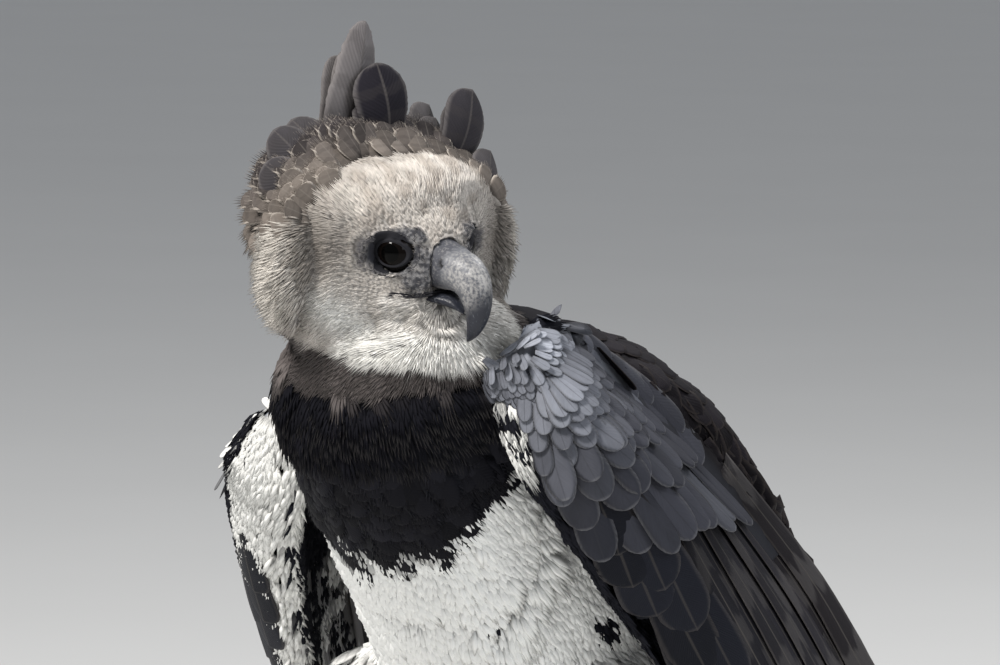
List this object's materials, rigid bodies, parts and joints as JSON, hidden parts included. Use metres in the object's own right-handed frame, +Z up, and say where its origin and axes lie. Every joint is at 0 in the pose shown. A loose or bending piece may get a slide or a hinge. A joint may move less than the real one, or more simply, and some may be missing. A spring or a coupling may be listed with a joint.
{
  "type": "harpy eagle figure",
  "caption": "Life-size harpy eagle standing with drooped wings and raised crest, its head turned to its left over a dark chest and pale belly.",
  "frame": {"origin": "on the floor, under the centre of the bird's bounding box", "axes": "+Z up, -Y ahead of the bird's body, +X towards its left side"},
  "size_m": [0.3848, 0.7371, 0.8233],
  "materials": {
    "ash_feather": "soft ash-grey feather",
    "black_feather": "blue-black feather",
    "white_feather": "white feather",
    "slate_feather": "slate-grey feather with pale rims",
    "brown_feather": "brown-black feather",
    "horn": "slate-grey horn",
    "claw": "black horn",
    "eye": "dark wet eye",
    "yellow_scale": "yellow scaled skin"
  },
  "bodies": {
    "root": {"belly": "white_feather", "bill_lower": "horn", "bill_upper": "horn", "breast": "black_feather", "claw_left_hind": "claw", "claw_left_inner": "claw", "claw_left_middle": "claw", "claw_left_outer": "claw", "claw_right_hind": "claw", "claw_right_inner": "claw", "claw_right_middle": "claw", "claw_right_outer": "claw", "crest_inner_left": "slate_feather", "crest_inner_right": "slate_feather", "crest_low_left": "slate_feather", "crest_mid_left": "slate_feather", "crest_mid_right": "slate_feather", "crest_middle": "slate_feather", "crest_outer_left": "slate_feather", "crest_outer_right": "slate_feather", "crest_tall": "slate_feather", "eye_left": "eye", "eye_right": "eye", "face": "ash_feather", "hood": "ash_feather", "neck": "black_feather", "rump": "white_feather", "scapulars_left": "brown_feather", "scapulars_right": "brown_feather", "shank_left": "yellow_scale", "shank_right": "yellow_scale", "tail": "black_feather", "tertials_left": "brown_feather", "tertials_right": "brown_feather", "thigh_left": "white_feather", "thigh_right": "white_feather", "toe_left_hind": "yellow_scale", "toe_left_inner": "yellow_scale", "toe_left_middle": "yellow_scale", "toe_left_outer": "yellow_scale", "toe_right_hind": "yellow_scale", "toe_right_inner": "yellow_scale", "toe_right_middle": "yellow_scale", "toe_right_outer": "yellow_scale", "wing_left_coverts": "slate_feather", "wing_left_primaries": "slate_feather", "wing_left_secondaries": "slate_feather", "wing_right_coverts": "slate_feather", "wing_right_primaries": "slate_feather", "wing_right_secondaries": "slate_feather"}
  },
  "joints": []
}
